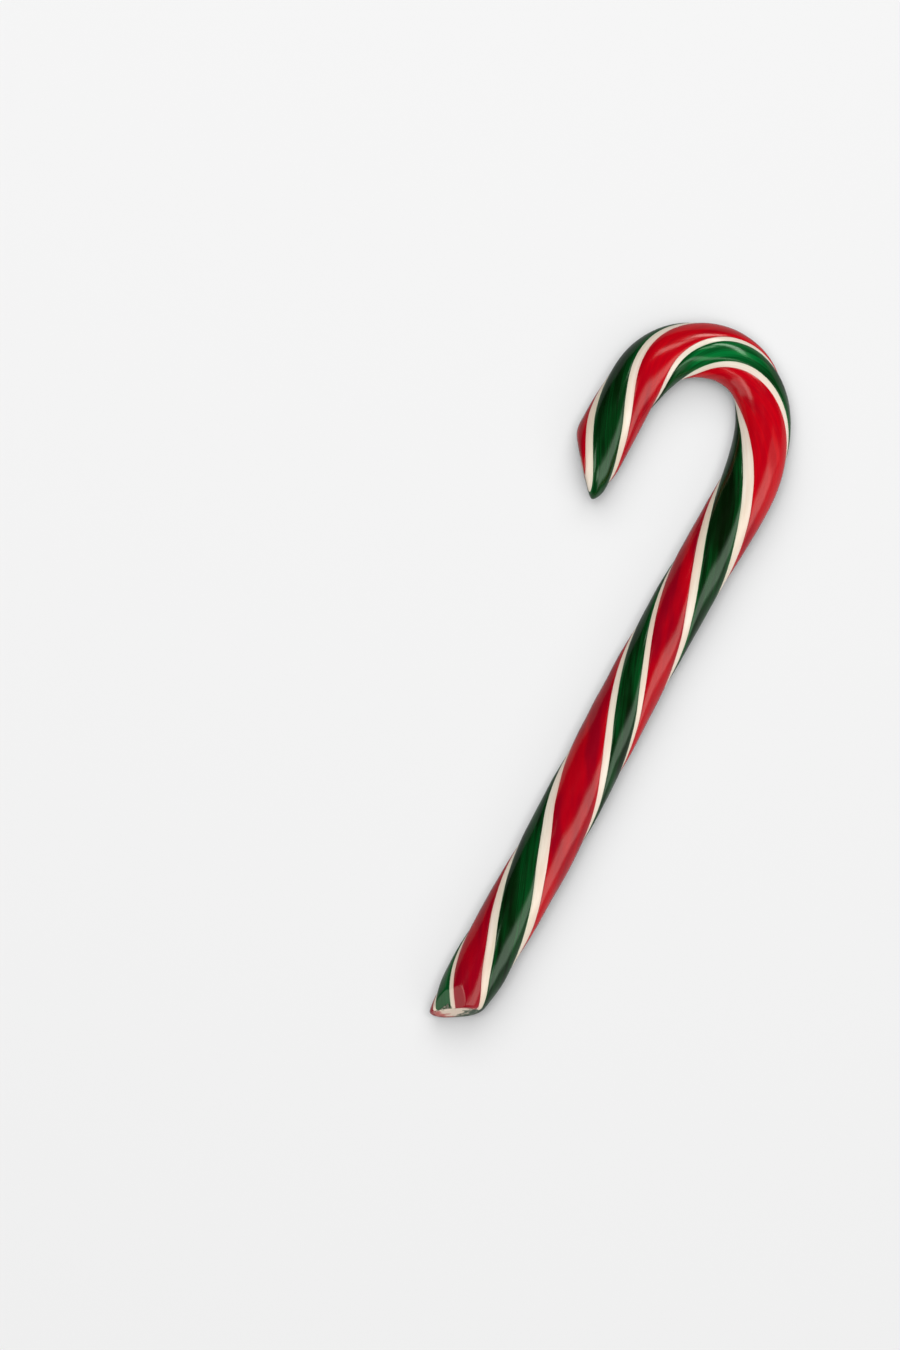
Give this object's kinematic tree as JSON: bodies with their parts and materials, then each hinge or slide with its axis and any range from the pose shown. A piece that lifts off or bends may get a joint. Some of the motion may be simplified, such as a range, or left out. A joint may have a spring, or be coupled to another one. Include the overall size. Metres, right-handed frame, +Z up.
{
  "type": "candy cane",
  "caption": "Hard sugar candy stick bent into a crook, white with spiralling red and green stripes of uneven width, sheared off aslant at both ends.",
  "frame": {"origin": "on the surface the cane lies on, under the middle of its whole extent", "axes": "+Z up through the lying cane, +Y along the straight shaft from the foot towards the crook, +X to the side of the shaft, so that the crook turns back towards -X"},
  "size_m": [0.0462, 0.166, 0.0123],
  "materials": {
    "white_sugar": "glossy pulled sugar, cream white, slightly translucent",
    "red_sugar": "glossy pulled sugar, deep red",
    "green_sugar": "glossy pulled sugar, dark green with fine lengthwise streaks"
  },
  "bodies": {
    "root": {"white_core": "white_sugar", "green_stripe_wide": "green_sugar", "red_stripe_wide": "red_sugar", "green_stripe_narrow": "green_sugar", "red_stripe_narrow": "red_sugar"}
  },
  "joints": []
}
